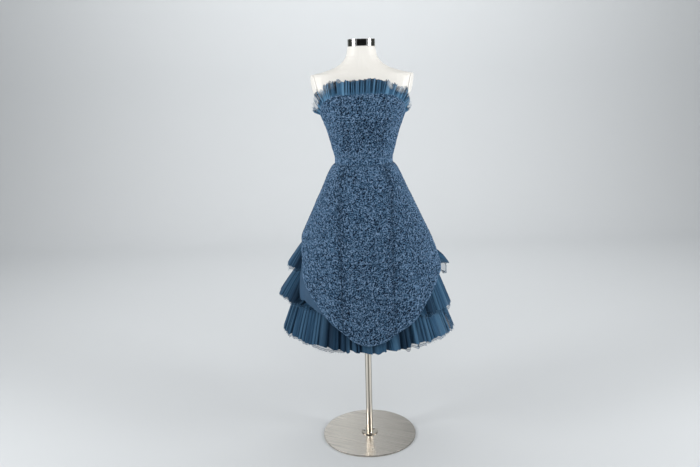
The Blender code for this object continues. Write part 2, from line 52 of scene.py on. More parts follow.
def along(rows, key, column):
    keys, values = rows["keys"], rows[column]
    slopes = np.gradient(values, keys, edge_order=1)
    slopes[1:-1] = (values[2:] - values[:-2]) / (keys[2:] - keys[:-2])
    key = np.clip(key, keys[0], keys[-1])
    low = np.clip(np.searchsorted(keys, key, side="right") - 1, 0, len(keys) - 2)
    width = keys[low + 1] - keys[low]
    share = (key - keys[low]) / width
    rise, fall = share * share * (3 - 2 * share), share * (1 - share)
    bend = fall * (1 - share) * slopes[low] - fall * share * slopes[low + 1]
    return values[low] * (1 - rise) + values[low + 1] * rise + width * bend


bodiceSections = table("height halfWidth frontDepth backDepth", [
    (1.400, 0.158, 0.1010, 0.104), (1.370, 0.160, 0.1085, 0.106),
    (1.340, 0.159, 0.1155, 0.106), (1.315, 0.157, 0.1175, 0.104),
    (1.290, 0.148, 0.1175, 0.100), (1.260, 0.137, 0.1110, 0.095),
    (1.220, 0.1255, 0.1005, 0.089), (1.190, 0.1180, 0.0935, 0.085),
    (1.160, 0.1105, 0.0870, 0.080), (1.145, 0.1085, 0.0855, 0.079),
    (1.130, 0.1105, 0.0870, 0.080),
])
necklineCurve = table("turn height lean length", [
    (0, 1.391, 6, 0.050), (33, 1.390, 12, 0.050), (46, 1.383, 16, 0.046),
    (61, 1.369, 24, 0.040), (75, 1.352, 38, 0.032), (84, 1.328, 54, 0.031),
    (92, 1.314, 60, 0.031), (120, 1.304, 42, 0.038),
    (150, 1.300, 26, 0.044), (180, 1.300, 20, 0.046),
])
skirtSections = table("height halfWidth frontDepth backDepth", [
    (1.130, 0.1125, 0.0885, 0.0820), (1.118, 0.1235, 0.0965, 0.0910),
    (1.095, 0.1360, 0.1050, 0.1020), (1.064, 0.1500, 0.1155, 0.1150),
    (1.033, 0.1640, 0.1260, 0.1270), (0.987, 0.1860, 0.1420, 0.1440),
    (0.924, 0.2150, 0.1640, 0.1670), (0.860, 0.2450, 0.1860, 0.1890),
    (0.800, 0.2700, 0.2060, 0.2090), (0.700, 0.3000, 0.2320, 0.2350),
    (0.600, 0.3180, 0.2510, 0.2530), (0.500, 0.3320, 0.2650, 0.2670),
    (0.440, 0.3380, 0.2700, 0.2720),
])
petalHem = table("turn left right", [
    (0, 0.493, 0.493), (9, 0.509, 0.506), (17, 0.541, 0.527),
    (25, 0.574, 0.549), (35, 0.618, 0.580), (45, 0.669, 0.626),
    (55, 0.722, 0.671), (63, 0.785, 0.697), (72, 0.829, 0.712),
    (78, 0.842, 0.728), (84, 0.851, 0.758), (90, 0.856, 0.802),
])
liningFoot = table("turn height", [
    (-64, 0.788), (-57, 0.651), (-50, 0.640), (-44, 0.625), (-37, 0.607),
    (-31, 0.594), (-24, 0.562),
])
# Soft hanging folds: the depth, turn and spread of each
skirtFolds = [
    (-0.005, -128, 12), (-0.003, -62, 9), (-0.005, -36, 8), (-0.003, -20, 5), (-0.006, 21, 6),
    (-0.004, 43, 9), (-0.003, 66, 8), (-0.004, 112, 10), (-0.006, 147, 9), (-0.004, -158, 8),
]
foldsBelow = (1.02, -0.40)
underskirtInset = table("height inset", [
    (1.130, 0.0031), (1.118, 0.0036), (1.095, 0.0050), (1.064, 0.0090),
    (1.000, 0.0190), (0.930, 0.0350), (0.880, 0.0400), (0.520, 0.0400),
])


# Places on the body and the skirt

def ease(share):
    share = np.clip(share, 0.0, 1.0)
    return share * share * (3 - 2 * share)


def hump(distance, spread):
    return np.exp(-((distance / spread) ** 2))


def blend(first, second, share):
    return first + share * (second - first)


def since(value, span):
    # Rises from 0 to 1 along a span, given as its start and its length, which may be negative
    start, length = span
    return ease((value - start) / length)


def near(value, span):
    # 1 at the middle of a span and 0 far from it
    middle, spread = span
    return hump(value - middle, spread)


def apart(turn, other):
    return np.abs((turn - other + 180) % 360 - 180)


def patchAt(turn, patch):
    amount, place, spread = patch
    return amount * hump(apart(turn, place), spread)


def unit(vectors):
    return vectors / np.maximum(np.linalg.norm(vectors, axis=-1, keepdims=True), 1e-12)


def ovalPoint(rows, turn, height, out=0.0):
    turn, height, out = np.broadcast_arrays(turn, height, out)
    angle = np.radians(turn)
    across = along(rows, height, "halfWidth")
    front, back = along(rows, height, "frontDepth"), along(rows, height, "backDepth")
    deep = np.where(np.cos(angle) > 0, front, back)
    normal = unit(np.stack([deep * np.sin(angle), -across * np.cos(angle), 0 * angle], -1))
    oval = np.stack([across * np.sin(angle), -deep * np.cos(angle), height], -1)
    return oval + out[..., None] * normal


bustShape = {
    "height": 1.286, "fullness": 0.011, "seamTurn": 30, "spreadTurn": 17, "spreadHeight": 0.036,
}


def bodicePoint(turn, height, out=0.0):
    rise = hump(height - bustShape["height"], bustShape["spreadHeight"])
    aside = hump(apart(np.abs(turn), bustShape["seamTurn"]), bustShape["spreadTurn"])
    return ovalPoint(bodiceSections, turn, height, out + bustShape["fullness"] * rise * aside)


def foldDepth(turn, height):
    return since(height, foldsBelow) * sum(patchAt(turn, fold) for fold in skirtFolds)


def skirtPoint(turn, height, out=0.0):
    return ovalPoint(skirtSections, turn, height, out + foldDepth(turn, height))


def edgeHeight(rows, turn):
    turn = (turn + 180) % 360 - 180
    angle = np.minimum(np.abs(turn), 180 - np.abs(turn))
    return np.where(turn < 0, along(rows, angle, "left"), along(rows, angle, "right"))


def coverHeight(turn):
    turn = (turn + 180) % 360 - 180
    petal = edgeHeight(petalHem, turn)
    inside = (turn >= liningFoot["keys"][0]) & (turn <= liningFoot["keys"][-1])
    return np.where(inside, np.minimum(petal, along(liningFoot, turn, "height")), petal)


def neckline(turn, column):
    return along(necklineCurve, apart(turn, 0), column)


def ring(columns, start=-180.0):
    return np.linspace(start, start + 360, columns, endpoint=False)


def ringNoise(turn, count, seed):
    values = np.random.RandomState(seed).uniform(-1, 1, count)
    place = (turn % 360) / 360 * count
    low = np.floor(place).astype(int)
    share = ease(place - low)
    return values[low % count] * (1 - share) + values[(low + 1) % count] * share


# Meshes, trees and materials

def setAttribute(mesh, name, values):
    layer = mesh.attributes.new(name, "FLOAT", "POINT")
    layer.data.foreach_set("value", np.ascontiguousarray(values, np.float32).ravel())


def nodeName(name):
    # The solid that a piece stands for has the piece's name in small letters
    return "".join("_" + letter.lower() if letter.isupper() else letter for letter in name)


def addObject(name, data):
    made = bpy.data.objects.new(name, data)
    bpy.context.scene.collection.objects.link(made)
    return made


def wrapped(points, closed):
    return np.concatenate([points, points[:, :1]], 1) if closed else points


def gridMesh(name, points, closed=False, **attributes):
    # Rows of points from the lowest up, faces outwards; the UV is the cloth's own lengths in metres
    rows, columns = points.shape[:2]
    spans = columns if closed else columns - 1
    row, column = np.meshgrid(np.arange(rows - 1), np.arange(spans), indexing="ij")
    beside = (column + 1) % columns
    low, high = row * columns, (row + 1) * columns
    faces = np.stack([low + column, low + beside, high + beside, high + column], -1).reshape(-1, 4)
    mesh = bpy.data.meshes.new(name)
    mesh.from_pydata(points.reshape(-1, 3).tolist(), [], faces.tolist())
    wide = wrapped(points, closed)
    across = np.linalg.norm(np.diff(wide[rows // 2], axis=0), axis=1)
    u = np.concatenate([[0], np.cumsum(across)])
    v = np.zeros(wide.shape[:2])
    v[1:] = np.cumsum(np.linalg.norm(np.diff(wide, axis=0), axis=2), axis=0)
    corners = [(row, column), (row, column + 1), (row + 1, column + 1), (row + 1, column)]
    uv = np.stack([np.stack([u[c], v[r, c]], -1) for r, c in corners], 2).reshape(-1, 2)
    mesh.uv_layers.new(name="cloth").data.foreach_set("uv", uv.astype(np.float32).ravel())
    for key, values in attributes.items():
        setAttribute(mesh, key, np.broadcast_to(values, (rows, columns)))
    mesh.shade_smooth()
    return mesh


def cutOf(points, closed):
    # The widest row, the longest column and the area of the cloth, as it was cut
    wide = wrapped(points, closed)
    width = np.linalg.norm(np.diff(wide, axis=1), axis=2).sum(1).max()
    length = np.linalg.norm(np.diff(wide, axis=0), axis=2).sum(0).max()
    first, second = wide[1:, 1:] - wide[:-1, :-1], wide[1:, :-1] - wide[:-1, 1:]
    area = np.linalg.norm(np.cross(first, second), axis=2).sum() / 2
    return float(width), float(length), float(area)


def setInputs(tree, node, inputs):
    # A socket is linked, anything else is the input's value
    for key, value in dict(inputs).items():
        if isinstance(value, bpy.types.NodeSocket):
            tree.links.new(value, node.inputs[key])
        else:
            node.inputs[key].default_value = value


def put(tree, kind, inputs=(), out=0, **settings):
    # Adds a node and gives back one of its outputs
    made = tree.nodes.new(kind)
    for key, value in settings.items():
        setattr(made, key, value)
    setInputs(tree, made, inputs)
    return made.outputs[out]


def maths(tree, operation, *values):
    return put(tree, "ShaderNodeMath", enumerate(values), operation=operation)


def vectors(tree, operation, first, second):
    keys = (0, "Scale") if operation == "SCALE" else (0, 1)
    return put(tree, "ShaderNodeVectorMath", zip(keys, (first, second)), operation=operation)


def mapRange(tree, value, given, wanted, **settings):
    keys = ("From Min", "From Max", "To Min", "To Max")
    inputs = dict(zip(keys, (*given, *wanted)), Value=value)
    return put(tree, "ShaderNodeMapRange", inputs, **settings)


def newTree(name, inputs):
    tree = bpy.data.node_groups.new(name, "GeometryNodeTree")
    tree.interface.new_socket("Geometry", in_out="INPUT", socket_type="NodeSocketGeometry")
    for title, kind in inputs.items():
        tree.interface.new_socket(title, in_out="INPUT", socket_type="NodeSocket" + kind)
    tree.interface.new_socket("Geometry", in_out="OUTPUT", socket_type="NodeSocketGeometry")
    return tree, tree.nodes.new("NodeGroupInput").outputs


def endTree(tree, geometry, material):
    real = put(tree, "GeometryNodeRealizeInstances", {"Geometry": geometry})
    dyed = put(tree, "GeometryNodeSetMaterial", {"Geometry": real, "Material": material})
    tree.links.new(dyed, tree.nodes.new("NodeGroupOutput").inputs[0])


def field(tree, name):
    return put(tree, "GeometryNodeInputNamedAttribute", {"Name": name}, data_type="FLOAT")


def grow(made, tree, values):
    # Runs the tree on the object and keeps the result as a plain mesh
    modifier = made.modifiers.new(tree.name, "NODES")
    modifier.node_group = tree
    for item in tree.interface.items_tree:
        if item.in_out == "INPUT" and item.name in values:
            modifier[item.identifier] = values[item.name]
    bpy.context.view_layer.update()
    graph = bpy.context.evaluated_depsgraph_get()
    mesh = bpy.data.meshes.new_from_object(
        made.evaluated_get(graph), preserve_all_data_layers=True, depsgraph=graph)
    made.modifiers.clear()
    old = made.data
    made.data = mesh
    bpy.data.meshes.remove(old)
    mesh.name = made.name
    return made


def newMaterial(name, **values):
    made = bpy.data.materials.new(name)
    made.use_nodes = True
    shader = made.node_tree.nodes["Principled BSDF"]
    setInputs(made.node_tree, shader, values)
    return made, made.node_tree, shader


def plainMaterial(name, colour, roughness, **values):
    return newMaterial(name, **{"Base Color": (*colour, 1), "Roughness": roughness, **values})[0]


def ramp(tree, factor, stops):
    made = put(tree, "ShaderNodeValToRGB", {"Fac": factor})
    elements = made.node.color_ramp.elements
    while len(elements) < len(stops):
        elements.new(0.5)
    for element, (place, colour) in zip(elements, stops):
        element.position = place
        element.color = (*colour, 1)
    return made


def noise(tree, vector, scale, detail=2.0, **values):
    inputs = {"Vector": vector, "Scale": scale, "Detail": detail, **values}
    return put(tree, "ShaderNodeTexNoise", inputs)


def bump(tree, height, strength, distance):
    inputs = {"Height": height, "Strength": strength, "Distance": distance}
    return put(tree, "ShaderNodeBump", inputs)


def mixColour(tree, factor, first, second):
    return put(tree, "ShaderNodeMix", {0: factor, 6: first, 7: second}, 2, data_type="RGBA")


def painted(tree, name):
    return put(tree, "ShaderNodeAttribute", out="Fac", attribute_name=name)


def objectPlace(tree):
    return put(tree, "ShaderNodeTexCoord", out="Object")


def clothPlace(tree):
    return put(tree, "ShaderNodeUVMap", uv_map="cloth")


# Camera at the photograph's angle

cameraView = {
    "place": (-0.060, -2.645, 1.490), "pitchDown": 13.48, "roll": 1.56, "lens": 36, "sensor": 36,
}
camera = addObject("camera", bpy.data.cameras.new("camera"))
camera.data.lens = cameraView["lens"]
camera.data.sensor_width = cameraView["sensor"]
camera.data.sensor_fit = "HORIZONTAL"
pitched = Matrix.Rotation(math.radians(90 - cameraView["pitchDown"]), 4, "X")
rolled = Matrix.Rotation(math.radians(-cameraView["roll"]), 4, "Z")
camera.matrix_world = Matrix.Translation(cameraView["place"]) @ pitched @ rolled
bpy.context.scene.camera = camera
bpy.context.scene.view_settings.view_transform = "Standard"


# Floor that bends up into the backdrop, and the lights

stageValues = {
    "colour": (0.600, 0.620, 0.633),
    "halfWidth": 7.0, "front": -6.0, "wallFoot": 3.1, "bend": 1.4, "wallTop": 6.0,
    "darkColour": (0.012, 0.012, 0.013), "darkHalf": 6, "darkPlace": -5.4, "darkTop": 5.0,
    "world": (0.80, 0.82, 0.84), "worldStrength": 0.32,
}
# The name, place, aim, size and power of each light
lights = [
    ("keyLight", (-3.0, -1.3, 1.75), (0, 0, 1.1), (1.0, 1.9), 86),
    ("fillLight", (3.0, -1.3, 1.65), (0, 0, 1.1), (1.0, 1.9), 84),
    ("frontLight", (0.2, -3.0, 3.0), (0, 0, 1.50), (1.6, 1.0), 21),
    ("topLight", (0.0, -0.6, 3.6), (0, 0.3, 0.0), (2.4, 1.6), 5),
    ("wallLight", (0.0, 1.6, 3.6), (0, 4.5, 1.0), (4.5, 0.8), 105),
]


def buildStage(values):
    foot, bend = values["wallFoot"], values["bend"]
    angles = np.radians(np.linspace(0, 90, 17))
    profile = [(values["front"], 0.0)]
    profile += [(foot + bend * math.sin(angle), bend * (1 - math.cos(angle))) for angle in angles]
    profile.append((foot + bend, values["wallTop"]))
    x = np.linspace(-values["halfWidth"], values["halfWidth"], 3)
    points = np.array([[(across, y, z) for across in x] for y, z in profile])
    backdrop = addObject("backdrop", gridMesh("backdrop", points))
    paper = plainMaterial("backdropPaper", values["colour"], 0.95, **{"Specular IOR Level": 0.1})
    backdrop.data.materials.append(paper)
    # A dark wall behind the camera, which only the bright metal sees
    half, y = values["darkHalf"], values["darkPlace"]
    points = [[(x, y, z) for x in (-half, half)] for z in (0, values["darkTop"])]
    dark = addObject("darkRoom", gridMesh("darkRoom", np.array(points, float)))
    dark.data.materials.append(plainMaterial("darkRoomPaint", values["darkColour"], 1.0))
    for ray in ("camera", "diffuse", "shadow", "transmission", "volume_scatter"):
        setattr(dark, "visible_" + ray, False)


def buildLights(values, rows):
    world = bpy.data.worlds.new("studio")
    world.use_nodes = True
    background = world.node_tree.nodes["Background"]
    background.inputs["Color"].default_value = (*values["world"], 1)
    background.inputs["Strength"].default_value = values["worldStrength"]
    bpy.context.scene.world = world
    for name, place, target, size, power in rows:
        data = bpy.data.lights.new(name, "AREA")
        data.shape = "RECTANGLE"
        data.size, data.size_y = size
        data.energy = power
        lamp = addObject(name, data)
        lamp.location = place
        lamp.rotation_euler = (Vector(target) - Vector(place)).to_track_quat("-Z", "Y").to_euler()


buildStage(stageValues)
buildLights(stageValues, lights)
print("stage: camera, lights and backdrop made")


# Cloth materials

crinkleLook = {
    "creviceShade": (0.002, 0.008, 0.021),
    "slope": (0.014, 0.046, 0.096),
    "blister": (0.060, 0.130, 0.222),
    "crestHighlight": (0.150, 0.238, 0.366),
    "thread": (0.190, 0.235, 0.320, 1),
    "seam": (0.004, 0.014, 0.032, 1),
    "threadScale": 150.0, "threadWidth": 0.035, "threadShare": 0.42, "grainScale": 620.0,
    "surface": {"Roughness": 0.85, "Specular IOR Level": 0.15, "Sheen Weight": 0.05,
                "Sheen Roughness": 0.45, "Sheen Tint": (0.62, 0.74, 0.95, 1)},
}


def crinkleMaterial(look):
    made, tree, shader = newMaterial("crinkleCloth", **look["surface"])
    place, height = objectPlace(tree), painted(tree, "crinkle")
    # Painted shade in the crevices and painted highlights on the crests, after the crinkle's height
    # and the painted pit shade
    colour = ramp(tree, height, [(0.02, look["creviceShade"]), (0.36, look["slope"]),
                                 (0.72, look["blister"]), (1.0, look["crestHighlight"])])
    # Pale grey-violet threads lie on the raised parts
    wander = noise(tree, place, look["threadScale"], 1.0, Distortion=0.8)
    away = maths(tree, "ABSOLUTE", maths(tree, "SUBTRACT", wander, 0.5))
    thread = mapRange(tree, away, (0.0, look["threadWidth"]), (look["threadShare"], 0.0))
    colour = mixColour(tree, maths(tree, "MULTIPLY", thread, height), colour, look["thread"])
    # The seam colour darkens the seam lines, and is also painted shade beside the gores' seams and
    # towards the skirt's centre front
    setInputs(tree, shader, {
        "Base Color": mixColour(tree, painted(tree, "seam"), colour, look["seam"]),
        "Normal": bump(tree, noise(tree, place, look["grainScale"]), 0.5, 0.0006),
    })
    return made


netLook = {
    "valley": (0.007, 0.034, 0.076),
    "ridge": (0.043, 0.122, 0.222),
    "creaseShade": (0.001, 0.010, 0.025, 1),
    "gleam": (0.108, 0.240, 0.386, 1),
    "ribScale": 420.0, "ribWidth": 0.035, "leastCover": 0.06,
    "surface": {"Roughness": 0.72, "Specular IOR Level": 0.1, "Sheen Weight": 0.05,
                "Sheen Tint": (0.60, 0.75, 0.95, 1)},
}


def netMaterial(name, look, cover, streak):
    # Crosswise ribs and threads of a stiff net, with painted shade in its creases and painted
    # highlights, clearer towards a raw edge
    made, tree, shader = newMaterial(name, **look["surface"])
    drawn = put(tree, "ShaderNodeMapping", {
        "Vector": clothPlace(tree), "Scale": (1.0, look["ribWidth"], 1.0)})
    ribs = noise(tree, drawn, look["ribScale"], 3.0)
    colour = ramp(tree, ribs, [(0.30, look["valley"]), (0.70, look["ridge"])])
    # Painted highlights on the crests, then painted shade in the creases
    for part in ("gleam", "creaseShade"):
        colour = mixColour(tree, painted(tree, part), colour, look[part])
    thin = maths(tree, "MULTIPLY", maths(tree, "SUBTRACT", ribs, 0.5), streak)
    alpha = maths(tree, "ADD", maths(tree, "SUBTRACT", cover, painted(tree, "sheer")), thin)
    clamped = put(tree, "ShaderNodeClamp", {"Value": alpha, "Min": look["leastCover"], "Max": 1.0})
    setInputs(tree, shader, {
        "Base Color": colour,
        "Alpha": clamped,
        "Normal": bump(tree, ribs, 0.35, 0.0008),
    })
    return made


liningLook = {
    "dark": (0.008, 0.043, 0.096), "light": (0.020, 0.070, 0.138), "scale": 26.0, "detail": 3.0,
    "surface": {"Roughness": 0.62, "Specular IOR Level": 0.3, "Sheen Weight": 0.15},
}


def softMaterial(name, look, place):
    # Two close tones that drift into each other
    made, tree, shader = newMaterial(name, **look["surface"])
    drift = noise(tree, place(tree), look["scale"], look["detail"])
    tones = ramp(tree, drift, [(0.3, look["dark"]), (0.7, look["light"])])
    setInputs(tree, shader, {"Base Color": tones})
    return made


crinkleCloth = crinkleMaterial(crinkleLook)
netCloth = netMaterial("stiffNet", netLook, 1.04, 0.30)
sheerCloth = netMaterial("sheerNet", netLook, 0.27, 0.35)
plainLining = softMaterial("plainLining", liningLook, clothPlace)
threadCloth = plainMaterial("netThread", (0.070, 0.150, 0.240), 0.7)


# The crinkled cloth: raised worms with short pits between them, with painted shade in the pits

crinkleValues = {"step": 0.0019, "Crinkle Size": 0.0044, "Crinkle Height": 0.0031, "Seed": 153.3}
crinkleForm = {
    "worms": (0.36, 0.58), "level": 0.60, "puffLeast": 0.62, "puffMore": 0.76, "puffScale": 0.45,
    "puffShift": (31.7, 12.4, 5.9), "seedTurn": 0.37, "pitShade": 1.28, "pitShadeMost": 1.42,
}


def crinkleTree(material, form):
    tree, given = newTree("crinkle", {
        "Crinkle Size": "Float", "Crinkle Height": "Float", "Seed": "Float"})
    place = put(tree, "GeometryNodeInputPosition")
    shift = put(tree, "ShaderNodeCombineXYZ", {
        "X": given["Seed"], "Y": maths(tree, "MULTIPLY", given["Seed"], form["seedTurn"])})
    scaled = vectors(tree, "SCALE", place, maths(tree, "DIVIDE", 1.0, given["Crinkle Size"]))
    moved = vectors(tree, "ADD", scaled, shift)
    worms = noise(tree, moved, 1.0, 0.6, Distortion=0.7)
    height = mapRange(tree, worms, form["worms"], (0.0, 1.0), interpolation_type="SMOOTHSTEP")
    puff = noise(tree, vectors(tree, "ADD", moved, form["puffShift"]), form["puffScale"], 1.0)
    puff = maths(tree, "ADD", form["puffLeast"], maths(tree, "MULTIPLY", puff, form["puffMore"]))
    height = maths(tree, "MULTIPLY", height, puff)
    depth = field(tree, "depth")
    amount = maths(tree, "MULTIPLY", maths(tree, "MULTIPLY", given["Crinkle Height"], depth),
                   maths(tree, "SUBTRACT", height, form["level"]))
    normal = put(tree, "GeometryNodeInputNormal")
    raised = put(tree, "GeometryNodeSetPosition", {
        "Geometry": given["Geometry"], "Offset": vectors(tree, "SCALE", normal, amount)})
    # The pits get painted shade, as dark as they are deep
    dark = maths(tree, "MULTIPLY", depth, form["pitShade"])
    dark = maths(tree, "MINIMUM", dark, form["pitShadeMost"])
    pit = maths(tree, "MULTIPLY", maths(tree, "SUBTRACT", 1.0, height), dark)
    kept = put(tree, "GeometryNodeStoreNamedAttribute", {
        "Geometry": raised, "Name": "crinkle", "Value": maths(tree, "SUBTRACT", 1.0, pit)},
        data_type="FLOAT", domain="POINT")
    endTree(tree, kept, material)
    return tree


crinkleGrowth = crinkleTree(crinkleCloth, crinkleForm)


def steps(length, step):
    return max(2, int(round(length / step)) + 1)


def asCloth(made, slot, nodes, points, closed=False, **facts):
    # A piece of cloth rides on the root, hides the solids it stands for, and prints how it was cut
    width, length, area = cutOf(points, closed)
    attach(made, "root")
    if nodes:
        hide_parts(*nodes)
    size = f"cut {width:.3f} x {length:.3f} m, {area:.4f} m2"
    print(f"stage: {made.name} {len(made.data.polygons)} faces, {size}")


def crinklePiece(name, node, points, depth, seam, held, restsOn):
    # Neighbours share one crinkle, so that their edges meet along a seam
    mesh = gridMesh(name, points, depth=depth, seam=seam)
    made = grow(addObject(name, mesh), crinkleGrowth, crinkleValues)
    made.data.shade_smooth()
    asCloth(made, "crinkle_cloth", [node], points, held=held, rests_on=restsOn)


seamValues = {
    "dip": 0.0016, "reach": 0.0040, "line": 0.0029, "dark": 0.94, "calm": 0.4, "calmReach": 0.0026,
    "puff": 0.40, "puffAt": (0.010, 0.012), "edge": 0.00008, "allowance": 0.0014,
}


def seamFeel(distance, strength=1.0):
    # How far a seam pulls the cloth in, how dark it is, and how it calms and then puffs the crinkle
    values = seamValues
    dip = strength * values["dip"] * hump(distance, values["reach"])
    dark = strength * values["dark"] * hump(distance, values["line"])
    calm = 1 - strength * values["calm"] * hump(distance, values["calmReach"])
    return dip, dark, calm, strength * values["puff"] * near(distance, values["puffAt"])


def withAllowance(turn, radius):
    # One more column, which lies under the piece beside it so that nothing shows through the seam
    return np.concatenate([turn, turn[:, -1:] + np.degrees(seamValues["allowance"] / radius)], 1)


def ending(values, last):
    values = np.array(values)
    values[:, -1] = last
    return values


# Bodice panels between their seams, from the waist to the neckline

bodiceValues = {
    "foot": 1.16008, "princess": 0.46, "waist": 0.42, "allowanceIn": 0.0021, "radius": 0.1,
    "widest": 1.29, "depth": 0.96, "front": (0.30, 4, 17), "frontHeight": (1.255, 0.07),
    "waistCalm": 0.22, "calm": (1.20, -0.04),
}


def bodicePanel(name, start, end):
    values = bodiceValues
    middle = bodicePoint(np.linspace(start, end, 40), values["widest"])
    wide = np.linalg.norm(np.diff(middle, axis=0), axis=1).sum()
    columns = steps(wide, crinkleValues["step"])
    gap = math.degrees(seamValues["edge"] / values["radius"])
    turn = np.linspace(start + gap, end - gap, columns)
    top = neckline(turn, "height")
    rows = steps(top.max() - values["foot"], crinkleValues["step"])
    share = np.linspace(0, 1, rows)[:, None]
    top = np.append(top, top[-1])
    height = blend(values["foot"], top, share)
    turn = withAllowance(np.broadcast_to(turn, (rows, columns)), values["radius"])
    distance = np.minimum(turn - start, end - turn) / (end - start) * wide
    dip, dark, calm, puff = seamFeel(distance, values["princess"])
    waistDip, waistDark, waistCalm, _ = seamFeel(height - values["foot"], values["waist"])
    points = bodicePoint(turn, height, ending(-dip - waistDip, -values["allowanceIn"]))
    front = patchAt(turn, values["front"]) * near(height, values["frontHeight"])
    low = 1 - values["waistCalm"] * since(height, values["calm"])
    depth = (values["depth"] + front + puff) * low * calm * waistCalm
    dark = ending(np.maximum(dark, waistDark), 1)
    crinklePiece(name, nodeName(name), points, ending(depth, 0), dark, "stretched", ["form_torso"])


# The name of each panel, and the turns of its two seams
bodicePanels = [
    ("bodiceFrontCentre", -30, 30),
    ("bodiceFrontLeft", -90, -30),
    ("bodiceFrontRight", 30, 90),
    ("bodiceBackLeft", -180, -90),
    ("bodiceBackRight", 90, 180),
]
for panel in bodicePanels:
    bodicePanel(*panel)


# Waistband, closed but for the seam at the centre back

waistValues = {
    "foot": 1.130, "top": 1.160, "round": 0.62, "depth": 0.80, "seam": 0.42, "backSeam": 179.96,
    "allowanceIn": 0.0022,
}


def waistBand(values):
    columns = steps(values["round"], crinkleValues["step"])
    turn = np.linspace(-values["backSeam"], values["backSeam"], columns)[None, :]
    rows = steps(values["top"] - values["foot"], crinkleValues["step"])
    # Both edges go on a little under the bodice and the overskirt
    under = seamValues["allowance"]
    height = np.linspace(values["foot"], values["top"], rows)
    height = np.concatenate([[values["foot"] - under], height, [values["top"] + under]])[:, None]
    edge = np.minimum(height - values["foot"], values["top"] - height) + 0 * turn
    dip, dark, calm, _ = seamFeel(edge, values["seam"])
    dip[[0, -1]], dark[[0, -1]], calm[[0, -1]] = values["allowanceIn"], 1, 0
    crinklePiece("waistBand", "waistband", bodicePoint(turn, height, -dip), values["depth"] * calm,
                 dark, "stretched", ["form_torso"])


waistBand(waistValues)


# Overskirt: gores whose seams hang straight down, cut to the petals' curved hems

goreValues = {
    "top": 1.12992, "seamOffset": 0.095, "seamWaistTurn": 37, "allowanceIn": 0.0034,
    "measuredAt": (0.55, 0.7, 0.85), "hemGuess": 0.62, "hemRounds": 40, "rowSlack": 1.08,
    "waistSeam": 0.42, "lineGaps": 0.38, "lineNoise": (120, 52),
    "hemTurn": 0.012, "hemRoll": 0.0013, "hemTurnAngles": (35, 90, 145, 180),
    "hemDepth": 0.15, "hemCalm": 0.25, "hemCalmReach": 0.006,
    "sway": 0.0022, "swaySlant": 9, "swayBelow": (1.06, -0.2), "swayNoise": (44, 40),
    "seamShade": 0.30, "seamShadeReach": 0.015, "seamShadeNoise": (44, 53),
    "topDepth": 0.66, "topBelow": (1.125, -0.05), "patchDepth": 0.34, "patchLeast": 0.86,
    "patchSlant": 60, "patchNoise": ((60, 50), (90, 51)),
    "leftPuff": (0.45, -27, 13), "leftHeight": (1.098, 0.022),
    "rightPuff": (0.22, 52, 16), "rightBelow": (1.0, -0.1),
    "centreShade": (0.13, 0, 26), "centreBelow": (1.02, -0.2),
}


def goreSeamTurn(height):
    across = along(skirtSections, height, "halfWidth")
    turn = np.degrees(np.arcsin(goreValues["seamOffset"] / across))
    return np.minimum(goreValues["seamWaistTurn"], turn)


def goreTurn(share, height, first, last):
    ends = [seam(height) if callable(seam) else seam for seam in (first, last)]
    gap = np.degrees(seamValues["edge"] / along(skirtSections, height, "frontDepth"))
    return ends[0] + gap + share * (ends[1] - ends[0] - 2 * gap)


def goreGrid(first, last):
    values, step = goreValues, crinkleValues["step"]
    shares = np.linspace(0, 1, 200)
    width = 0
    for height in values["measuredAt"]:
        turn = goreTurn(shares, height, first, last)
        lengths = np.linalg.norm(np.diff(skirtPoint(turn, height), axis=0), axis=1)
        width = max(width, lengths[(edgeHeight(petalHem, turn) <= height)[1:]].sum())
    columns = steps(width, step)
    share = np.linspace(0, 1, columns)
    # The hem is where the slanting columns of the cloth meet the petal's curve
    hem = np.full(columns, values["hemGuess"])
    for _ in range(values["hemRounds"]):
        hem = (hem + edgeHeight(petalHem, goreTurn(share, hem, first, last))) / 2
    rows = steps((values["top"] - hem).max() * values["rowSlack"], step)
    height = blend(hem, values["top"], np.linspace(0, 1, rows)[:, None])
    turn = goreTurn(share[None, :], height, first, last)
    turn = withAllowance(turn, along(skirtSections, height[:, -1:], "frontDepth"))
    height = np.concatenate([height, height[:, -1:]], 1)
    return turn, height, np.append(hem, hem[-1])


def leftSeam(height):
    return -goreSeamTurn(height)


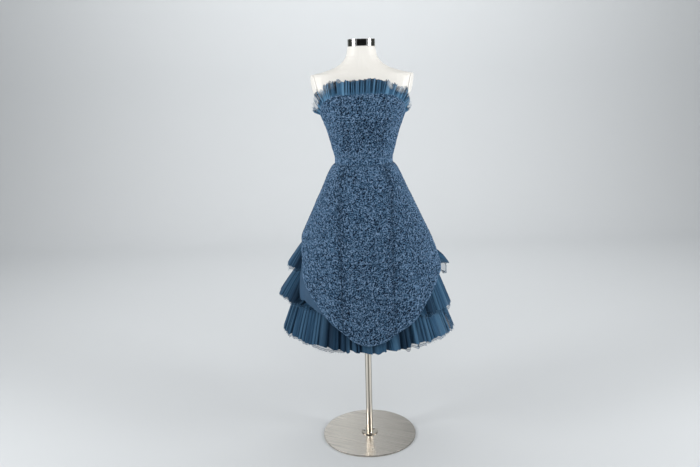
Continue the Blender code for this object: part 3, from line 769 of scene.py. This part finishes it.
def gore(name, *seams):
    values = goreValues
    turn, height, hem = goreGrid(*seams)
    across = along(skirtSections, height, "halfWidth")
    dip, dark, calm, puff = seamFeel(values["top"] - height, values["waistSeam"])
    gaps = values["lineGaps"]
    broken = 1 - gaps + gaps * ringNoise(360 * height, *values["lineNoise"])
    # Painted shade in broken patches beside the seams
    seamShade = values["seamShade"] * ease(0.5 + 0.9 * ringNoise(360 * height, *values["seamShadeNoise"]))
    for seam in seams:
        seamTurn = seam(height) if callable(seam) else seam
        distance = np.radians(apart(turn, seamTurn)) * across
        seamDip, seamDark, seamCalm, seamPuff = seamFeel(distance)
        seamDark = np.maximum(seamDark * broken, seamShade * hump(distance, values["seamShadeReach"]))
        dip, dark, calm = dip + seamDip, np.maximum(dark, seamDark), calm * seamCalm
        puff = puff + seamPuff
    # Uneven soft waves of the hanging cloth, and patches where it crinkles more
    sway = ringNoise(turn + values["swaySlant"] * (1.13 - height), *values["swayNoise"])
    sway = values["sway"] * sway * since(height, values["swayBelow"])
    out = ending(sway - dip, -values["allowanceIn"])
    sideways, upwards = values["patchNoise"]
    patch = ringNoise(turn + values["patchSlant"] * height, *sideways)
    patch = patch * ringNoise(360 * height, *upwards)
    patch = values["patchLeast"] + values["patchDepth"] * (0.5 + 0.5 * patch)
    depth = blend(values["topDepth"], 1, since(height, values["topBelow"])) * patch + puff
    left = patchAt(turn, values["leftPuff"]) * near(height, values["leftHeight"])
    right = patchAt(turn, values["rightPuff"]) * since(height, values["rightBelow"])
    hemCalm = 1 - values["hemCalm"] * hump(height - hem, values["hemCalmReach"])
    depth = (depth + left + right) * calm * hemCalm
    # Painted shade: the skirt darker towards the centre front, lower down
    centre = patchAt(turn, values["centreShade"]) * since(height, values["centreBelow"])
    dark = np.maximum(dark, centre)
    # The hem turns under
    roll, angles = values["hemRoll"], np.radians(values["hemTurnAngles"])
    under = [(-roll * math.sin(angle), roll * (1 - math.cos(angle))) for angle in angles]
    under += [(share * values["hemTurn"], 2 * roll) for share in (0.3, 1.0)]
    turned = [skirtPoint(turn[0], hem + rise, out[0] - inside) for rise, inside in reversed(under)]
    points = np.concatenate([np.array(turned), skirtPoint(turn, height, out)])
    beneath = np.ones((len(turned), len(hem)))
    depth = np.concatenate([values["hemDepth"] * beneath, depth])
    dark = np.concatenate([0 * beneath, dark])
    crinklePiece(name, nodeName(name), points, ending(depth, 0), ending(dark, 1), "hung",
                 ["waistBand", "ruffleTierUpper"])


# The name of each gore, and its two seams
gores = [
    ("overskirtFrontCentre", leftSeam, goreSeamTurn),
    ("overskirtFrontLeft", -90, leftSeam),
    ("overskirtFrontRight", goreSeamTurn, 90),
    ("overskirtBackLeft", -180, -90),
    ("overskirtBackRight", 90, 180),
]
for row in gores:
    gore(*row)


# Plain cloth: the underskirt and the strip of lining under the front petal

underskirtValues = {
    "foot": 0.520, "top": 1.12992, "columns": 240, "rows": 90, "gores": 8, "gap": 0.0004,
    "seamDip": 0.0010, "seamReach": 0.004, "radius": 0.25,
    "sway": 0.0009, "swayNoise": (30, 60), "swayBelow": (1.0, -0.3),
}


def underSkirt(values):
    turn = ring(values["columns"])[None, :]
    height = np.linspace(values["foot"], values["top"], values["rows"])[:, None]
    out = -along(underskirtInset, height, "inset") + 0 * turn
    soft = values["sway"] * ringNoise(turn, *values["swayNoise"])
    soft = soft * since(height, values["swayBelow"])
    wide = 360 / values["gores"]
    fromSeam = np.radians(np.abs((turn + wide / 2) % wide - wide / 2)) * values["radius"]
    soft = soft - values["seamDip"] * hump(fromSeam, values["seamReach"])
    points = ovalPoint(skirtSections, turn, height, out + soft - values["gap"])
    made = addObject("underSkirt", gridMesh("underSkirt", points, True))
    made.data.materials.append(plainLining)
    nodes = [f"underskirt_gore_{number + 1}" for number in range(values["gores"])]
    asCloth(made, "plain_lining", nodes, points, True, held="hung", rests_on=["waistBand"])


liningValues = {
    "from": -65.5, "to": -23.9, "columns": 90, "rows": 40, "hidden": 0.05, "inset": 0.0032,
    "sway": 0.0006, "swayNoise": (30, 61),
}


def liningStrip(values):
    turn = np.linspace(values["from"], values["to"], values["columns"])
    foot = along(liningFoot, turn, "height")
    share = np.linspace(0, 1, values["rows"])[:, None]
    height = blend(foot, edgeHeight(petalHem, turn) + values["hidden"], share)
    sway = values["sway"] * ringNoise(turn * 3, *values["swayNoise"])
    out = -values["inset"] - sway * (1 - share)
    points = skirtPoint(turn[None, :], height, out)
    made = addObject("petalLiningStrip", gridMesh("petalLiningStrip", points))
    made.data.materials.append(plainLining)
    asCloth(made, "plain_lining", ["petal_lining_strip"], points,
            held="hung", rests_on=["overskirtFrontLeft"])


underSkirt(underskirtValues)
liningStrip(liningValues)


# Pleated net: the ruffle tiers and the neck ruffle

pleatShape = {
    "narrow": 0.75, "wide": 1.25, "least": 0.72, "rises": 0.32, "falls": 0.68,
    "shallow": 0.08, "sharp": 1.9, "creaseAt": 0.66, "gleam": (0.45, 0.5),
}


def pleatRise(turn, waves, seed):
    # The corners of uneven pleats round the body, joined smoothly
    shape, chance = pleatShape, random.Random(seed)
    widths = [chance.uniform(shape["narrow"], shape["wide"]) for _ in range(waves)]
    start, turns, rises = -180.0, [], []
    for width in widths:
        step = 360 * width / sum(widths)
        rise = chance.uniform(shape["least"], 1.0)
        for share, level in ((0, -1), (shape["rises"], 1), (shape["falls"], 1)):
            turns.append(start + share * step)
            rises.append(level * rise)
        start += step
    turns, rises = np.array(turns + [turns[0] + 360]), np.array(rises + rises[:1])
    turn = (turn + 180) % 360 - 180
    low = np.clip(np.searchsorted(turns, turn, side="right") - 1, 0, len(turns) - 2)
    share = ease((turn - turns[low]) / (turns[low + 1] - turns[low]))
    return rises[low] * (1 - share) + rises[low + 1] * share


def pleatFold(turn, waves, seed, depthSeed):
    # Broad round ridges with narrow valleys, some of them shallow, and how deep a point lies, which
    # sets the painted shade of the creases
    shape = pleatShape
    least = shape["shallow"]
    deep = least + (1 - least) * ease(0.5 + 1.3 * ringNoise(turn, int(0.7 * waves), depthSeed))
    ridge = (np.clip(pleatRise(turn, waves, seed), -1, 1) + 1) / 2
    broad = 1 - deep * (1 - ridge) ** shape["sharp"]
    return 2 * broad - 1, deep * ease((shape["creaseAt"] - ridge) / shape["creaseAt"])


def pleated(values, turn, share, waves, seed, leanWaves):
    # Broad pleats with finer ones on them, which lean more towards the free edge
    leaning = turn + values["lean"] * share * ringNoise(turn, leanWaves, seed + 70)
    number = int(values["finePleats"] * waves)
    broad = pleatFold(leaning, waves, seed, seed + 60)
    fine = pleatFold(leaning, number, seed + 80, seed + 81)
    # Painted highlights on the crests of some of the fine ones, where they catch the light
    crestHighlight = since(fine[0], pleatShape["gleam"])
    gleam = crestHighlight * ease(0.45 + 1.1 * ringNoise(leaning, number, seed + 82))
    return leaning, *broad, *fine, gleam


releaseValues = {"margin": 0.004, "reach": 0.011, "search": range(-12, 13, 2)}


def uncovered(turn, height):
    # From 0 where the petals press on the net to 1 where they no longer reach it
    margin, reach = releaseValues["margin"], releaseValues["reach"]
    nearest = np.full(np.broadcast(turn, height).shape, margin + reach)
    across = along(skirtSections, height, "halfWidth")
    for step in releaseValues["search"]:
        below = np.maximum(0.0, coverHeight(turn + step) - height)
        nearest = np.minimum(nearest, np.hypot(np.radians(step) * across, below))
    return ease((nearest - margin) / reach)


# Threads that stand out of a raw edge, grown along a line that carries the way the cloth runs

def frayTree(material):
    tree, given = newTree("fray", {
        "Spacing": "Float", "Length": "Float", "Thickness": "Float", "Spread": "Float",
        "Seed": "Int"})
    line = put(tree, "GeometryNodeMeshToCurve", {"Mesh": given["Geometry"]})
    dots = put(tree, "GeometryNodeCurveToPoints", {
        "Curve": line, "Length": given["Spacing"]}, mode="LENGTH")
    run = put(tree, "ShaderNodeCombineXYZ", {axis: field(tree, "run" + axis) for axis in "XYZ"})
    stray = put(tree, "FunctionNodeRandomValue", {
        "Min": (-1, -1, -1), "Max": (1, 1, 1), "Seed": given["Seed"]}, data_type="FLOAT_VECTOR")
    heading = vectors(tree, "ADD", run, vectors(tree, "SCALE", stray, given["Spread"]))
    turned = put(tree, "FunctionNodeAlignEulerToVector", {"Vector": heading}, axis="Z")
    grown = put(tree, "FunctionNodeRandomValue", {
        2: 0.25, 3: 1.0, "Seed": maths(tree, "ADD", given["Seed"], 5)}, 1, data_type="FLOAT")
    tall = maths(tree, "MULTIPLY", grown, given["Length"])
    tall = maths(tree, "MULTIPLY", tall, field(tree, "wisp"))
    thread = put(tree, "GeometryNodeMeshCone", {
        "Vertices": 3, "Side Segments": 1, "Radius Top": 0.35, "Radius Bottom": 1.0, "Depth": 1.0})
    size = put(tree, "ShaderNodeCombineXYZ", {
        "X": given["Thickness"], "Y": given["Thickness"], "Z": tall})
    placed = put(tree, "GeometryNodeInstanceOnPoints", {
        "Points": dots, "Instance": thread, "Rotation": turned, "Scale": size})
    endTree(tree, placed, material)
    return tree


frayGrowth = frayTree(threadCloth)
frayValues = {"Spacing": 0.0024, "Thickness": 0.00021, "Spread": 0.34, "Length": 0.011}
frayStart = {"inside": 0.001}


def frayedEdge(name, edge, run, wisp, changes):
    # The edge is the net's last row of points, and run the way its threads leave it
    mesh = bpy.data.meshes.new(name)
    count = len(edge)
    inside = frayStart["inside"] * run
    mesh.from_pydata((edge - inside).tolist(), [(at, (at + 1) % count) for at in range(count)], [])
    for axis, values in zip("XYZ", run.T):
        setAttribute(mesh, "run" + axis, values)
    setAttribute(mesh, "wisp", wisp)
    made = grow(addObject(name, mesh), frayGrowth, {**frayValues, **changes})
    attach(made, "root")
    print(f"stage: {name} {len(made.data.polygons)} faces")
    return made


def netPiece(name, nodes, points, looks, material, restsOn, rows, wisp, **changes):
    # One layer of net, with the threads of its raw edge beside it
    edge, before = points[rows[0]], points[rows[1]]
    fringe = frayedEdge(name + "Fray", edge, unit(edge - before), wisp, changes)
    made = addObject(name, gridMesh(name, points, True, **looks))
    made.data.materials.append(material)
    asCloth(made, "pleated_net", nodes, points, True,
            held="gathered", rests_on=restsOn, with_pieces=[fringe])


# Each tier's hollows are painted shadows: their darkness, turn and spread
tiers = [
    {"name": "ruffleTierUpper", "top": 0.892, "waves": 38, "seed": 8,
     "frontOut": -0.016, "sideOut": (0.008, 0.022), "pleat": 0.0090, "clearRight": 0.10,
     "droop": 0.024, "droopIn": 0.014, "hollowShadows": [(0.5, -66, 6), (0.3, 80, 5)],
     "hem": table("turn left right", [(0, 0.742, 0.742), (45, 0.747, 0.736), (90, 0.752, 0.731)])},
    {"name": "ruffleTierMiddle", "top": 0.762, "waves": 42, "seed": 9,
     "frontOut": -0.014, "sideOut": (0.019, -0.002), "pleat": 0.0100, "clearRight": 0.15,
     "droop": 0.0, "droopIn": 0.0, "hollowShadows": [(0.6, -57, 6), (0.5, 47, 7)],
     "hem": table("turn left right", [(0, 0.600, 0.600), (45, 0.622, 0.585), (60, 0.632, 0.582),
                                      (75, 0.638, 0.579), (90, 0.624, 0.575)])},
    {"name": "ruffleTierLower", "top": 0.634, "waves": 48, "seed": 10,
     "frontOut": -0.016, "sideOut": (-0.012, -0.003), "pleat": 0.0110, "clearRight": 0.45,
     "droop": 0.0, "droopIn": 0.0,
     "hollowShadows": [(0.50, -27, 6), (0.3, -17, 4), (0.60, 24, 6), (0.2, 0, 12)],
     "hem": table("turn left right", [(0, 0.466, 0.466), (22, 0.474, 0.474), (45, 0.487, 0.484),
                                      (70, 0.492, 0.488), (90, 0.484, 0.478)])},
]
tierValues = {
    "round": 2.05, "columnStep": 0.0030, "rows": 24, "lastUpper": 0.94,
    "hemRows": (0.952, 0.960, 0.968, 0.984, 0.992, 1.0),
    "topPleat": 0.0020, "room": 0.0068, "pressed": 0.5, "netHalf": 0.0007, "gap": 0.0003,
    "finePleats": 2.3, "fineDepth": 0.20, "fineCrease": (0.92, 0.95), "finePressed": 0.4,
    "frontFlat": (0.55, 0, 30), "flatCrease": 0.6, "lean": 4.0, "fold": 1.1, "foldPressed": 0.3,
    "gleam": (0.38, 0.42), "shade": (0.38, 0.24), "darkest": 0.92,
    "hemWave": 0.0058, "raggedHem": 0.0024, "sheerAside": (12, 9),
    "droop": (79, 7), "droopIn": (79, 12),
    "hemLines": (0.960, 0.994), "hemLine": 0.72, "lineReach": 0.006,
    "clear": (86, 22), "clearShare": (0.35, 0.6),
    "wispLeast": 0.7, "wispMore": 0.5, "wispWaves": 40,
}
tierLayers = [
    {"suffix": "", "longer": 0.001, "sheerLonger": 0.0, "droops": 0, "inside": 0.0,
     "seed": 1, "cloth": netCloth},
    {"suffix": "Sheer", "longer": -0.004, "sheerLonger": 0.016, "droops": 1, "inside": 0.0035,
     "seed": 2, "cloth": sheerCloth},
]


def tierHem(tier, layer, turn):
    values = tierValues
    # The sheer layer hangs below the stiff one except at the centre front and back
    angle = np.minimum(np.abs(turn), 180 - np.abs(turn))
    aside = since(angle, values["sheerAside"])
    hem = edgeHeight(tier["hem"], turn) - layer["longer"] - layer["sheerLonger"] * aside
    hem = hem - layer["droops"] * tier["droop"] * near(turn, values["droop"])
    hem = hem + values["hemWave"] * ringNoise(turn, 2 * tier["waves"], tier["seed"] + layer["seed"])
    return hem + values["raggedHem"] * ringNoise(turn, turn.size // 2, tier["seed"] + 90)


def sided(turn, pair):
    return np.where(turn < 0, *pair)


def tierShade(tier, turn, share, flat, creaseShade, fineCrease):
    values = tierValues
    # Painted shade: the left side darker than the right, painted shadows in the hollows, and painted
    # shade in the creases
    shade = sided(turn, values["shade"]) + 0 * share
    for hollowShadow in tier["hollowShadows"]:
        shade = shade + patchAt(turn, hollowShadow)
    fineCrease = sided(turn, values["fineCrease"]) * fineCrease
    creaseShade = np.maximum(creaseShade * (1 - values["flatCrease"] * flat), fineCrease)
    return 1 - (1 - creaseShade * ease(share * 3)) * (1 - np.minimum(shade, values["darkest"]))


def tierPoints(tier, layer, turn):
    values = tierValues
    upper = np.linspace(0, values["lastUpper"], values["rows"] - len(values["hemRows"]))
    share = np.concatenate([upper, values["hemRows"]])[::-1, None]
    height = tier["top"] + share * (tierHem(tier, layer, turn) - tier["top"])
    leaning, rise, creaseShade, fine, fineCrease, gleam = pleated(
        values, turn, share, tier["waves"], tier["seed"], tier["waves"] // 2)
    # At the centre front the waves lie flat and the finer pleats show
    flat = patchAt(turn, values["frontFlat"])
    creaseShade = tierShade(tier, turn, share, flat, creaseShade, fineCrease)
    side = np.sin(np.radians(turn)) ** 2
    net = values["netHalf"] + values["topPleat"]
    seamOut = -along(underskirtInset, height, "inset") + values["gap"] + net
    hemOut = blend(tier["frontOut"], sided(turn, tier["sideOut"]), side)
    natural = blend(seamOut, hemOut, share)
    pleat = blend(values["topPleat"], tier["pleat"], share)
    pressed = blend(values["topPleat"], pleat, values["pressed"])
    # Under the petals the net is pressed flat, and past their edge it springs out
    held = foldDepth(turn, height) - values["room"] - values["netHalf"] - pressed
    held = np.minimum(natural, held)
    free = uncovered(turn, height)
    fineFree = blend(values["finePressed"], 1, free)
    wave = rise * (1 - flat) + values["fineDepth"] * (1 + flat) * fine * fineFree
    droopIn = layer["droops"] * tier["droopIn"] * share * near(turn, values["droopIn"])
    out = blend(held, natural, free) + blend(pressed, pleat, free) * wave
    out = out - layer["inside"] * share - droopIn
    # Each pleat folds a little over the next one
    folded = leaning + values["fold"] * rise * share * blend(values["foldPressed"], 1, free)
    if layer["droops"]:
        lines = sum(hump(share - line, values["lineReach"]) for line in values["hemLines"])
        sheer = -values["hemLine"] * np.minimum(lines, 1)
    else:
        clear = patchAt(turn, (tier["clearRight"], *values["clear"]))
        sheer = clear * since(share, values["clearShare"])
    # Painted shade in the creases and painted highlights on the crests, a little stronger on the
    # right
    looks = {"sheer": sheer, "creaseShade": creaseShade, "gleam": sided(turn, values["gleam"]) * gleam}
    return ovalPoint(skirtSections, folded, height, out), looks


def ruffleTier(tier):
    values = tierValues
    columns = steps(values["round"], values["columnStep"])
    for layer in tierLayers:
        points, looks = tierPoints(tier, layer, ring(columns)[None, :])
        wisp = ringNoise(ring(columns, 0.0), values["wispWaves"], tier["seed"] + 95)
        wisp = values["wispLeast"] + values["wispMore"] * wisp
        nodes = [] if layer["suffix"] else [nodeName(tier["name"])]
        netPiece(tier["name"] + layer["suffix"], nodes, points, looks, layer["cloth"],
                 ["underSkirt"], (0, 1), wisp, Seed=tier["seed"] + layer["seed"])


for tier in tiers:
    ruffleTier(tier)


neckValues = {
    "round": 0.95, "columnStep": 0.0012, "rows": 22, "waves": 52, "seed": 7,
    "footPleat": 0.0012, "topPleat": 0.0056, "lean": 7.0, "leanWaves": 30, "fold": 1.5,
    "finePleats": 2.1, "fineDepth": 0.42, "fineCrease": 1.0, "gleam": 0.80, "gleamLeast": 0.16,
    "edgeWave": 0.0070, "edgeWaves": 70, "ragged": 0.0024, "raggedTorn": 1.5,
    "tornFrom": (26, 14), "tornTo": (106, -20), "tornClear": 0.72,
    "patchWaves": 64, "clearFrom": 0.45, "clearTorn": 0.3,
    "seamShare": 0.06, "seamDrop": 0.005, "seamIn": 0.0014, "seamOut": 0.0004,
    "right": (1, 92, 26), "rightLean": 0.38, "rightShort": 0.26,
    "wispLeast": 0.45, "wispTorn": 0.6,
    "fray": {"Spacing": 0.0019, "Thickness": 0.00012, "Length": 0.008},
}
neckLayers = [
    {"name": "neckRuffle", "nodes": ["neck_ruffle"], "longer": -0.001, "inside": 0.0, "seed": 1,
     "clear": 0.10},
    {"name": "neckRuffleInner", "nodes": [], "longer": 0.001, "inside": 0.0026, "seed": 2,
     "clear": 0.30},
]


def torn(turn):
    # Where the neck ruffle's edge has worn to wisps, at both sides of the front
    angle = apart(turn, 0)
    return since(angle, neckValues["tornFrom"]) * since(angle, neckValues["tornTo"])


def neckPoints(layer, turn):
    values, seed = neckValues, neckValues["seed"]
    share = np.linspace(0, 1, values["rows"])[:, None]
    height = neckline(turn, "height") + 0 * share
    right = patchAt(turn, values["right"])
    lean = np.radians(neckline(turn, "lean") * (1 - values["rightLean"] * right)) + 0 * share
    leaning, rise, creaseShade, fine, fineCrease, gleam = pleated(
        values, turn, share, values["waves"], seed, values["leanWaves"])
    # Each pleat folds a little over the next one
    folded = leaning + values["fold"] * rise * share
    outward = bodicePoint(folded, height, 1.0) - bodicePoint(folded, height, 0.0)
    upward = np.array([0.0, 0.0, 1.0])
    sine, cosine = np.sin(lean)[..., None], np.cos(lean)[..., None]
    alongCloth, across = cosine * upward + sine * outward, cosine * outward - sine * upward
    # Painted shade in the creases, less at the foot
    creaseShade = np.maximum(creaseShade, values["fineCrease"] * fineCrease) * ease(share * 4 + 0.2)
    pleat = blend(values["footPleat"], values["topPleat"], share)
    edge = values["edgeWave"] * ringNoise(turn, values["edgeWaves"], seed + layer["seed"])
    ragged = values["ragged"] * (1 + values["raggedTorn"] * torn(turn))
    edge = edge + ragged * ringNoise(turn, turn.size // 2, seed + 91)
    length = neckline(turn, "length") * (1 - values["rightShort"] * right)
    length = length + layer["longer"] + share * edge
    # The foot is sewn in behind the bodice's top edge
    sunk = np.minimum(share / values["seamShare"], 1)
    foot = bodicePoint(folded, height - values["seamDrop"] * (1 - sunk),
                       -values["seamIn"] + values["seamOut"] * sunk)
    moved = sunk * (pleat * (rise + values["fineDepth"] * fine) - layer["inside"] * share)
    points = foot + (share * length)[..., None] * alongCloth + moved[..., None] * across
    patches = 0.5 + 0.5 * ringNoise(turn, values["patchWaves"], seed + 93)
    worn = torn(turn) * patches
    begin = values["clearFrom"] - values["clearTorn"] * torn(turn)
    sheer = (layer["clear"] + values["tornClear"] * worn) * since(share, (begin, values["clearFrom"]))
    # Painted highlights: a little everywhere, more on the crests
    looks = {"sheer": sheer, "creaseShade": creaseShade, "gleam": values["gleamLeast"] + values["gleam"] * gleam}
    return points, looks, values["wispLeast"] + values["wispTorn"] * worn


def neckRuffle():
    columns = steps(neckValues["round"], neckValues["columnStep"])
    for layer in neckLayers:
        points, looks, wisp = neckPoints(layer, ring(columns)[None, :])
        netPiece(layer["name"], layer["nodes"], points, looks, netCloth, ["bodiceFrontCentre"],
                 (-1, -2), wisp, Seed=layer["seed"], **neckValues["fray"])


neckRuffle()


# Materials of the form and the stand, whose solids stay as they are

formLook = {
    "dark": (0.820, 0.796, 0.745), "light": (0.845, 0.822, 0.772), "scale": 9.0, "detail": 2.0,
    "surface": {"Roughness": 0.42, "Specular IOR Level": 0.35},
}
plateLook = {
    "dark": (0.45, 0.414, 0.366), "light": (0.77, 0.722, 0.658), "dull": (0.10, 0.095, 0.085, 1),
    "brushTurn": -24, "brushScale": (2.2, 0.010, 0.6), "scale": 5.0,
    "sideShadeAcross": (-0.10, 0.19), "sideShadeShare": (0.0, 0.56), "roughness": (0.18, 0.34),
}


def brushedMaterial(look):
    made, tree, shader = newMaterial("brushedSteel", Metallic=1.0)
    place = objectPlace(tree)
    turned = (0, 0, math.radians(look["brushTurn"]))
    slanted = put(tree, "ShaderNodeMapping", {
        "Vector": place, "Rotation": turned, "Scale": look["brushScale"]}, vector_type="TEXTURE")
    streaks = noise(tree, slanted, look["scale"], 4.0)
    colour = ramp(tree, streaks, [(0.25, look["dark"]), (0.75, look["light"])])
    # Painted reflection: the plate is painted darker towards one side
    across = put(tree, "ShaderNodeSeparateXYZ", {"Vector": place})
    dull = mapRange(tree, across, look["sideShadeAcross"], look["sideShadeShare"])
    setInputs(tree, shader, {
        "Base Color": mixColour(tree, dull, colour, look["dull"]),
        "Roughness": mapRange(tree, streaks, (0.0, 1.0), look["roughness"]),
        "Normal": bump(tree, streaks, 0.06, 0.0004),
    })
    return made


def roundMetal(name, radius, roughness, stops):
    # Painted reflections: tall soft light strips round a polished piece, and dark turned-away sides
    # as if they reflected a dark room
    made, tree, shader = newMaterial(name, Metallic=1.0, Roughness=roughness)
    across = put(tree, "ShaderNodeSeparateXYZ", {"Vector": objectPlace(tree)})
    aside = maths(tree, "DIVIDE", maths(tree, "ABSOLUTE", across), radius)
    setInputs(tree, shader, {"Base Color": ramp(tree, aside, stops)})
    return made


formWhite = softMaterial("formWhite", formLook, objectPlace)
capRadius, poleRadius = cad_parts["neck_cap"].dimensions.x / 2, 0.0127
chromeMetal = plainMaterial("chromeMetal", (0.80, 0.79, 0.77), 0.09, Metallic=1.0)
solidLooks = {
    "form_torso": formWhite,
    "arm_plate_left": formWhite,
    "arm_plate_right": formWhite,
    "neck_cap": roundMetal("capChrome", capRadius, 0.09, [
        (0.70, (0.80, 0.79, 0.77)), (0.78, (0.11, 0.11, 0.085))]),
    "pole": roundMetal("tubePaintedReflection", poleRadius, 0.31, [
        (0.06, (0.24, 0.215, 0.180)), (0.38, (0.96, 0.890, 0.790)),
        (0.64, (0.92, 0.860, 0.765)), (0.96, (0.16, 0.140, 0.115))]),
    "base_plate": brushedMaterial(plateLook),
    "base_flange": plainMaterial("turnedSteel", (0.42, 0.385, 0.33), 0.22, Metallic=1.0),
    "flange_screw_1": chromeMetal,
    "flange_screw_2": chromeMetal,
    "flange_screw_3": chromeMetal,
}
for name, material in solidLooks.items():
    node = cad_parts[name]
    for place in node.material_slots:
        place.material = material
print("stage: form and stand painted")
